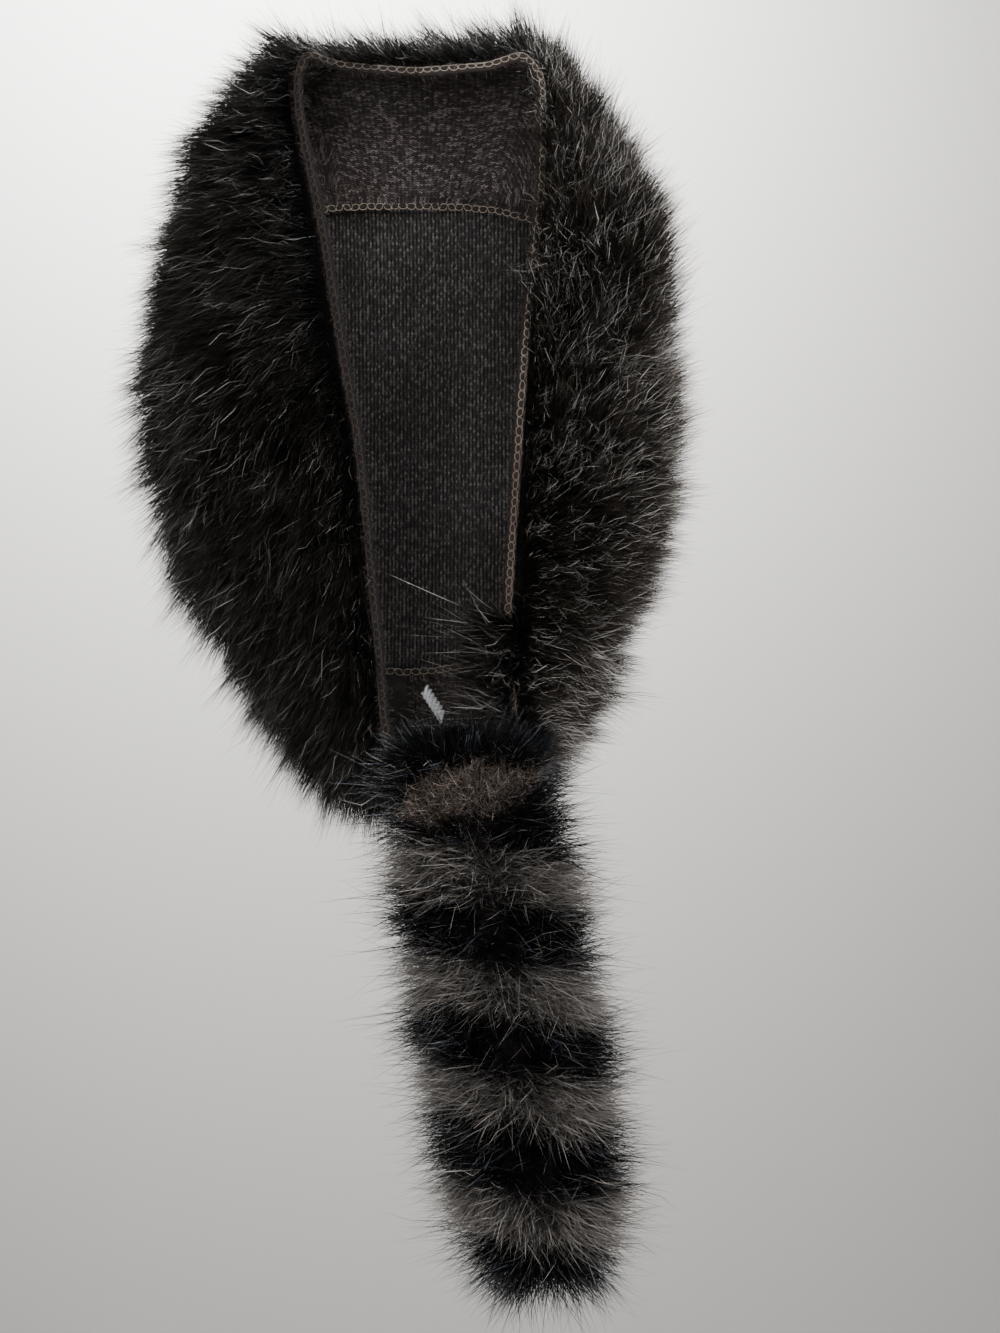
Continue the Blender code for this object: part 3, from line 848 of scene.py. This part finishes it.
def patch_pile(skin, line, rng):
    """The short, curly patch at the tail's root."""
    roots, normals = skin.scatter(PATCH_TRIES * PATCH_STRANDS, rng)
    inside = in_patch(line.share(roots), line.across(roots), normals)
    roots, normals = roots[inside][:PATCH_STRANDS], normals[inside][:PATCH_STRANDS]
    ways = unit(normals + PATCH_STRAY * rng.normal(size=roots.shape))
    pile = Pile(roots, ways, rng.uniform(*PATCH_LENGTHS, size=len(roots)), PATCH_AREA, rng)
    pile.droop = PATCH_BEND * rng.normal(size=roots.shape)
    pile.curl = PATCH_CURL
    pile.width = PATCH_WIDTH
    return pile


def make_tail_fur(tail):
    line = TailLine()
    rng = np.random.default_rng(SEED + 1)
    materials = tail_materials()
    pile, furs = tail_pile(tail, line, TAIL_STRANDS, rng)
    guards, guard_furs = tail_pile(tail, line, TAIL_GUARDS, rng)
    guards = guards_of(guards, TAIL_GUARD_SHARE, TAIL_GUARD_STRAY, rng)
    guards.ways = unit(guards.ways * np.array(TAIL_GUARD_SPREAD))
    # Painted light: sideways guard hairs turn grey, lighter along the tail's outline
    fringe = (np.abs(guards.ways[:, 0]) > FRINGE) & (rng.random(guards.count) < FRINGE_SHARE)
    guard_furs = np.where(fringe, "grey", guard_furs)
    to = ("tail_fur", "tail_pile")
    for fur in ("black", "grey"):
        add_fur(f"tail_fur_{fur}", pile, PILE, materials[fur], rng, *to, furs == fur)
        add_fur(f"tail_guard_hair_{fur}", guards, GUARD, materials[fur], rng, *to, guard_furs == fur)
    add_fur("tail_crest", crest_pile(tail, line, rng), PILE, materials["black"], rng, *to)
    add_fur("tail_patch", patch_pile(tail, line, rng), SHORT, materials["brown"], rng, *to)
    base = plain_material("tail_undercoat", (0.0035, 0.0030, 0.0028), 1.0, 0.04)
    undercoat("tail_undercoat", tail, base, *to)


def tail_materials():
    # Painted glints: the few black strands at the top of the tone range are many times lighter, as specks
    # of light on the hair
    painted_glints = [(0.0, (0.5,) * 3), (0.7, (1.0,) * 3), (0.92, (1.7,) * 3),
                (0.935, (22, 23, 25)), (1.0, (34, 36, 39))]
    mixed = [(0.0, (0.28, 0.27, 0.26)), (0.5, (0.7, 0.68, 0.66)), (1.0, (2.0, 1.97, 1.93))]
    return {
        "black": fur_material(
            "tail_black",
            [(0.0, (0.0006, 0.00065, 0.0008)), (0.6, (0.0014, 0.0015, 0.0018)),
             (1.0, (0.006, 0.0064, 0.0071))],
            painted_glints, 0.20, 0.34),
        "grey": fur_material(
            "tail_grey",
            [(0.0, (0.004, 0.0037, 0.0034)), (0.35, (0.020, 0.0182, 0.0171)), (1.0, (0.200, 0.186, 0.174))],
            mixed, 0.36),
        "brown": fur_material(
            "tail_brown",
            [(0.0, (0.018, 0.013, 0.010)), (0.5, (0.056, 0.042, 0.033)), (1.0, (0.19, 0.156, 0.132))],
            mixed, 0.5),
    }


# Backing and sewing


def refined(name, node):
    """A smooth, finer copy of a node, as a mesh."""
    points, triangles = node_arrays(node)
    coarse = bpy.data.meshes.new(name + "_coarse")
    coarse.from_pydata(points, [], triangles)
    holder = bpy.data.objects.new(name + "_coarse", coarse)
    bpy.context.scene.collection.objects.link(holder)
    smooth = holder.modifiers.new("Smooth", "SUBSURF")
    smooth.levels = 1
    graph = bpy.context.evaluated_depsgraph_get()
    fine = bpy.data.meshes.new_from_object(holder.evaluated_get(graph))
    bpy.data.objects.remove(holder)
    bpy.data.meshes.remove(coarse)
    fine.name = name
    return fine


def mesh_points(mesh):
    points = np.empty(len(mesh.vertices) * 3)
    mesh.vertices.foreach_get("co", points)
    return points.reshape(-1, 3)


def loop_vertices(mesh):
    found = np.empty(len(mesh.loops), dtype=np.int64)
    mesh.loops.foreach_get("vertex_index", found)
    return found


def knit_piece(name, node, material, unwrap):
    """A knitted piece: the node's own form, finer, with soft dents, and laid on the knit's map."""
    mesh = refined(name, node)
    points = mesh_points(mesh)
    rng = np.random.default_rng(SEED + 2)
    normals = np.empty(len(mesh.vertices) * 3)
    mesh.vertices.foreach_get("normal", normals)
    dents = flow(points, KNIT_DENT_SIZE, rng)[:, :1] * KNIT_DENTS
    uv = unwrap(points) / KNIT_SPAN + 0.5
    mesh.vertices.foreach_set("co", (points + normals.reshape(-1, 3) * dents).ravel())
    layer = mesh.uv_layers.new(name=UV_NAME)
    layer.data.foreach_set("uv", uv[loop_vertices(mesh)].astype(np.float32).ravel())
    mesh.materials.clear()
    mesh.materials.append(material)
    mesh.shade_smooth()
    add_piece(name, mesh, "knit_backing", node)


def make_backings(line):
    middle = crown_middle()

    def flat(points):
        return (points - middle)[:, [0, 2]]

    def turn_of(points):
        return np.arctan2(points[:, 0] - middle[0], points[:, 2] - middle[2])

    def round_band(points):
        """How far round the mouth, and how far in from the rim at that place."""
        turn = turn_of(points)
        reach = np.hypot(points[:, 0] - middle[0], points[:, 2] - middle[2]).mean()
        rim = [np.interp(turn, turn_of(line), line[:, k], period=math.tau) for k in range(3)]
        inward = points - np.stack(rim, axis=1)
        depth = np.abs(inward[:, 1]) + np.hypot(inward[:, 0], inward[:, 2])
        return np.stack([turn * reach, depth], axis=1)

    crown_knit = knit_material(
        "crown_knit", (0.0094, 0.0087, 0.0085), (0.047, 0.0440, 0.0428), (0.62, 0.55, 0.52), 0.5, 0.72)
    band_knit = knit_material(
        "band_knit", (0.0122, 0.0100, 0.0098), (0.070, 0.0592, 0.0584), (0.75, 0.66, 0.62), 0.9, 0.30)
    knit_piece("crown_knit", "crown_backing", crown_knit, flat)
    knit_piece("band_knit", "band_backing", band_knit, round_band)
    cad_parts["tail_core"].data.materials.clear()
    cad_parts["tail_core"].data.materials.append(band_knit)


def section(points, triangles, middle, turn):
    """Where a half-plane through the middle, along Y, cuts the triangles. turn is clockwise from +Z."""
    edges = np.unique(np.sort(triangles[:, [0, 1, 1, 2, 2, 0]].reshape(-1, 2), axis=1), axis=0)
    a, b = points[edges[:, 0]], points[edges[:, 1]]
    across = np.array([math.cos(turn), 0, -math.sin(turn)])
    out = np.array([math.sin(turn), 0, math.cos(turn)])
    da, db = (a - middle) @ across, (b - middle) @ across
    cut = da * db < 0
    share = (da[cut] / (da[cut] - db[cut]))[:, None]
    found = a[cut] + (b[cut] - a[cut]) * share
    return found[(found - middle) @ out > 0]


def evenly(loop, step):
    """The closed loop smoothed a little, and again as points about a step apart."""
    for _ in range(3):
        loop = (np.roll(loop, 1, axis=0) + 2 * loop + np.roll(loop, -1, axis=0)) / 4
    closed = np.concatenate([loop, loop[:1]])
    gone = np.concatenate([[0], np.cumsum(np.linalg.norm(np.diff(closed, axis=0), axis=1))])
    count = int(round(gone[-1] / step))
    goals = np.linspace(0, gone[-1], count, endpoint=False)
    return np.stack([np.interp(goals, gone, closed[:, k]) for k in range(3)], axis=1), gone[-1]


def rim_line():
    points, triangles = node_arrays("rim_edge")
    lo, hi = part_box("rim_edge")
    middle = np.array((lo + hi) / 2)
    loop = []
    for turn in np.linspace(0, math.tau, RIM_CUTS, endpoint=False):
        cut = section(points, triangles, middle, turn)
        loop.append((cut.min(axis=0) + cut.max(axis=0)) / 2)
    return np.array(loop)


def seam_line():
    """The middle of the edges of the two layers turned in at the crown seam."""
    edge_depth = 0.0004
    crown_points, crown_triangles = node_arrays("crown_backing")
    band_points, band_triangles = node_arrays("band_backing")
    middle = crown_middle()
    loop = []
    for turn in np.linspace(0, math.tau, SEAM_CUTS, endpoint=False):
        cut = section(crown_points, crown_triangles, middle, turn)
        tip = cut[cut[:, 1] < cut[:, 1].min() + edge_depth].mean(axis=0)
        other = section(band_points, band_triangles, middle, turn)
        near = other[np.argmin(np.linalg.norm(other - tip, axis=1))]
        loop.append((tip + near) / 2)
    return np.array(loop)


def swept(line, closed, radius, sides):
    """Points and triangles of a round cord along a line, with its map."""
    count = len(line)
    if closed:
        along = unit(np.roll(line, -1, axis=0) - np.roll(line, 1, axis=0))
    else:
        along = unit(np.gradient(line, axis=0))
    up = np.where(np.abs(along[:, 1:2]) > 0.9, np.array([[1.0, 0, 0]]), np.array([[0, 1.0, 0]]))
    a = unit(np.cross(along, up))
    b = np.cross(along, a)
    turns = np.linspace(0, math.tau, sides, endpoint=False)
    radii = np.broadcast_to(np.asarray(radius), (count,))
    ring = a[:, None] * np.cos(turns)[None, :, None] + b[:, None] * np.sin(turns)[None, :, None]
    points = (line[:, None] + ring * radii[:, None, None]).reshape(-1, 3)
    triangles = []
    for k in range(count if closed else count - 1):
        after = (k + 1) % count
        for s in range(sides):
            t = (s + 1) % sides
            triangles.append((k * sides + s, k * sides + t, after * sides + t))
            triangles.append((k * sides + s, after * sides + t, after * sides + s))
    if not closed:
        last = (count - 1) * sides
        for s in range(1, sides - 1):
            triangles.append((0, s + 1, s))
            triangles.append((last, last + s, last + s + 1))
    place = np.repeat(np.arange(count) / count, sides)
    round_it = np.tile(np.arange(sides) / sides, count)
    uv = CORD_UV_EDGE + (1 - 2 * CORD_UV_EDGE) * np.stack([place, round_it], axis=1)
    return points, np.array(triangles), uv


def cord_mesh(name, parts, material):
    """One mesh of several swept cords."""
    points, triangles, maps = [], [], []
    start = 0
    for part_points, part_triangles, part_map in parts:
        points.append(part_points)
        triangles.append(part_triangles + start)
        maps.append(part_map)
        start += len(part_points)
    points, triangles, maps = (np.concatenate(x) for x in (points, triangles, maps))
    return mesh_of(name, points, triangles, maps[triangles.ravel()], material)


def chain_along(line, link, wide, deep, middle_turn, half_turn, phase, rng):
    """A thread that swings from side to side over a cord of the given half widths.

    link is the length of a link of the chain that two such threads make, half a turn apart.
    """
    smooth, length = evenly(line, THREAD_STEP)
    count = len(smooth)
    swings = round(length / link / 2)
    along = unit(np.roll(smooth, -1, axis=0) - np.roll(smooth, 1, axis=0))
    facing = np.array([0, -1.0, 0])
    front = unit(facing - along * (along @ facing)[:, None])
    aside = np.cross(along, front)
    beat = np.arange(count) / count * swings + phase
    uneven = flow(smooth, THREAD_UNEVEN_SIZE, rng) * UNEVEN
    turn = middle_turn + half_turn * (1 + uneven[:, 0]) * np.cos(math.tau * beat)
    slack = link * (UNEVEN * np.sin(math.tau * beat * 2) + uneven[:, 1])
    path = smooth + along * slack[:, None]
    return path + front * (deep * np.cos(turn))[:, None] + aside * (wide * np.sin(turn))[:, None]


def fuzz(name, line, radius, count, material, slot, rng):
    """Short worn fibres that stand off a line of sewing."""
    smooth, _ = evenly(line, FIBRE_STEP)
    along = unit(np.roll(smooth, -1, axis=0) - np.roll(smooth, 1, axis=0))
    chosen = rng.integers(len(smooth), size=count)
    ways = unit(np.cross(along[chosen], unit(rng.normal(size=(count, 3)))))
    shifts = rng.uniform(-FIBRE_SHIFT, FIBRE_SHIFT, size=(count, 1))
    roots = smooth[chosen] + ways * radius + along[chosen] * shifts
    ways = unit(ways + FIBRE_STRAY * rng.normal(size=(count, 3)))
    pile = Pile(roots, ways, rng.uniform(*FIBRE_LENGTHS, size=count), FIBRE_AREA, rng)
    pile.width = FIBRE_WIDTH
    pile.curl = FIBRE_CURL
    add_piece(name, pile.part(slice(None)).mesh(name, PILE, material, rng), slot)


def make_rim(line):
    smooth, _ = evenly(line, RIM_STEP)
    rng = np.random.default_rng(SEED + 3)
    radius = RIM_RADIUS * (1 + UNEVEN * flow(smooth, RIM_UNEVEN_SIZE, rng)[:, 0])
    # Painted shade along the rim, clockwise from the top: the thread and roll are darkened from the lower
    # right round the bottom to the upper left
    sides = [(0.0, (1, 1, 1)), (0.25, (0.95, 0.93, 0.90)), (0.32, (0.50, 0.42, 0.38)),
             (0.42, (0.36, 0.30, 0.27)), (0.56, (0.12, 0.094, 0.083)), (0.90, (0.12, 0.094, 0.083)),
             (1.0, (0.9, 0.88, 0.86))]
    roll = thread_material("rim_roll", (0.0055, 0.0040, 0.0034), (0.018, 0.0132, 0.0112), 0.9, sides)
    mesh = cord_mesh("rim_roll", [swept(smooth, True, radius, RIM_SIDES)], roll)
    add_piece("rim_roll", mesh, "seam_thread", "rim_edge")
    thread = thread_material("rim_thread", (0.04, 0.032, 0.027), (0.22, 0.186, 0.155), 0.75, sides)
    parts = []
    over = RIM_RADIUS + THREAD_RADIUS
    swings = [
        # middle turn, half turn, phase
        (-0.30, 0.62, 0.0),
        (-0.30, 0.62, 0.5),
        (-1.30, 0.35, 0.3),
    ]
    for middle_turn, half_turn, phase in swings:
        path = chain_along(line, LINK, over, over, middle_turn, half_turn, phase, rng)
        parts.append(swept(path, True, THREAD_RADIUS, THREAD_SIDES))
    mesh = cord_mesh("rim_stitches", parts, thread)
    add_piece("rim_stitches", mesh, "seam_thread")
    worn = fur_material(
        "worn_fibre", [(0.0, (0.009, 0.0060, 0.0050)), (1.0, (0.046, 0.033, 0.028))],
        [(0.0, (0.4, 0.4, 0.4)), (1.0, (1.5, 1.45, 1.4))], 0.7)
    fuzz("rim_fuzz", line, RIM_RADIUS, RIM_FIBRES, worn, "seam_thread", rng)
    fuzz("seam_fuzz", seam_line(), SEAM_HEIGHT, SEAM_FIBRES, worn, "seam_thread", rng)


def make_seam():
    line = seam_line()
    rng = np.random.default_rng(SEED + 4)
    even = [(0.0, (0.9, 0.9, 0.9)), (1.0, (1, 1, 1))]
    thread = thread_material("seam_thread", (0.05, 0.040, 0.032), (0.24, 0.198, 0.157), 0.75, even)
    parts = []
    for phase in (0.0, 0.5):
        path = chain_along(line, LINK, SEAM_HALF_WIDTH, SEAM_HEIGHT, 0.0, SEAM_HALF_TURN, phase, rng)
        parts.append(swept(path, True, THREAD_RADIUS, THREAD_SIDES))
    mesh = cord_mesh("seam_stitches", parts, thread)
    add_piece("seam_stitches", mesh, "seam_thread")
    smooth, _ = evenly(line, SEAM_STEP)
    roll = thread_material("seam_roll", (0.0045, 0.0034, 0.0029), (0.013, 0.0100, 0.0085), 0.9, even)
    mesh = cord_mesh("seam_roll", [swept(smooth, True, SEAM_RADIUS, SEAM_SIDES)], roll)
    add_piece("seam_roll", mesh, "seam_thread")


def make_tack():
    """The bar tack: white thread wound closely round a short core."""
    points, _ = node_arrays("bar_tack")
    middle = points.mean(axis=0)
    _, _, axes = np.linalg.svd(points - middle)
    reach = (points - middle) @ axes[0]
    if axes[0][2] > 0:
        axes = -axes
        reach = -reach
    low, high = reach.min(), reach.max()
    even = [(0.0, (0.95, 0.95, 0.95)), (1.0, (1, 1, 1))]
    white = thread_material("tack_thread", (0.75, 0.75, 0.77), (0.97, 0.97, 0.99), 0.45, even)
    radius, sides = 0.00066, 8
    wraps, steps = 7, 18
    wide, deep = 0.0014, 0.0008
    slant = 0.0011
    end_gap = 1.6 * radius
    core_radius, core_points = 1.1 * deep, 6
    turn = np.linspace(0, math.tau * wraps, wraps * steps)
    place = np.linspace(low + end_gap, high - end_gap, len(turn))
    lean = slant * np.cos(turn)
    facing = np.array([0, -1.0, 0])
    a = unit(np.cross(axes[0], facing))
    b = np.cross(axes[0], a)
    path = middle + axes[0] * (place + lean)[:, None]
    path = path + a * (wide * np.cos(turn))[:, None] + b * (deep * np.sin(turn))[:, None]
    mesh = cord_mesh("white_tack", [swept(path, False, radius, sides)], white)
    add_piece("white_tack", mesh, "white_thread", "bar_tack")
    core = middle + axes[0] * np.linspace(low + radius, high - radius, core_points)[:, None]
    grey = plain_material("tack_core", (0.05, 0.045, 0.06), 0.9, 0.2)
    mesh = cord_mesh("tack_core", [swept(core, False, core_radius, sides)], grey)
    add_piece("tack_core", mesh, "white_thread", "bar_tack")


# Stage


def stage_material(name, colour):
    material, _, shader = new_material(name, 0.9, 0.1)
    shader.inputs["Base Color"].default_value = (*colour, 1)
    return material


def make_stage():
    """A pale floor that rises far behind the cap in one smooth sweep."""
    near, far, half = -3.0, 4.5, 5.0
    floor_z, top = -2.8, 4.0
    bend, steps = 0.6, 12
    profile = [(near, floor_z), (far - bend, floor_z)]
    for k in range(1, steps + 1):
        angle = math.pi / 2 * k / steps
        out = bend * math.sin(angle)
        up = bend - bend * math.cos(angle)
        profile.append((far - bend + out, floor_z + up))
    profile.append((far, top))
    points = [(x, y, z) for y, z in profile for x in (-half, half)]
    faces = [(2 * k, 2 * k + 1, 2 * k + 3, 2 * k + 2) for k in range(len(profile) - 1)]
    mesh = bpy.data.meshes.new("floor")
    mesh.from_pydata(points, [], faces)
    mesh.shade_smooth()
    mesh.materials.append(stage_material("pale_floor", (0.745, 0.730, 0.705)))
    floor = bpy.data.objects.new("floor", mesh)
    bpy.context.scene.collection.objects.link(floor)


def add_light(name, place, aim, size, power, spread=math.pi):
    data = bpy.data.lights.new(name, "AREA")
    data.size = size
    data.energy = power
    data.spread = spread
    light = bpy.data.objects.new(name, data)
    light.location = place
    light.rotation_euler = (Vector(aim) - Vector(place)).to_track_quat("-Z", "Y").to_euler()
    light.visible_camera = False
    bpy.context.scene.collection.objects.link(light)


def make_lights():
    aim = (VIEW_CENTRE_X, 0, VIEW_CENTRE_Z)
    add_light("key", (0.66, -0.90, 0.26), aim, 0.5, 22)
    add_light("front_fill", (-0.10, -1.20, -0.30), aim, 0.8, 28)
    add_light("left_rim_light", (-1.0, 0.9, 0.5), aim, 0.9, 26)
    add_light("right_rim_light", (1.25, 0.25, 0.45), aim, 0.9, 72)
    add_light("backdrop_light", (-0.9, 2.4, 3.0), (-0.5, 4.5, 1.6), 1.2, 180, 1.5)
    world = bpy.data.worlds.new("studio")
    world.use_nodes = True
    background = world.node_tree.nodes["Background"]
    background.inputs["Color"].default_value = (0.80, 0.80, 0.80, 1)
    background.inputs["Strength"].default_value = 0.10
    bpy.context.scene.world = world


def make_camera():
    data = bpy.data.cameras.new("camera")
    data.sensor_width = SENSOR
    data.lens = SENSOR * VIEW_DISTANCE / VIEW_HEIGHT
    camera = bpy.data.objects.new("camera", data)
    camera.location = (VIEW_CENTRE_X, -VIEW_DISTANCE, VIEW_CENTRE_Z)
    camera.rotation_euler = (math.pi / 2, 0, 0)
    bpy.context.scene.collection.objects.link(camera)
    bpy.context.scene.camera = camera


def main():
    make_camera()
    make_stage()
    make_lights()
    band = Skin("band_backing", "band_pile")
    crown = Skin("crown_backing", "crown_pile")
    tail = Skin("tail_core", "tail_pile")
    line = rim_line()
    rim = KDTree(len(line))
    for k, point in enumerate(line):
        rim.insert(point, k)
    rim.balance()
    make_cap_fur(band, crown, rim)
    make_tail_fur(tail)
    make_backings(line)
    make_rim(line)
    make_seam()
    make_tack()


main()
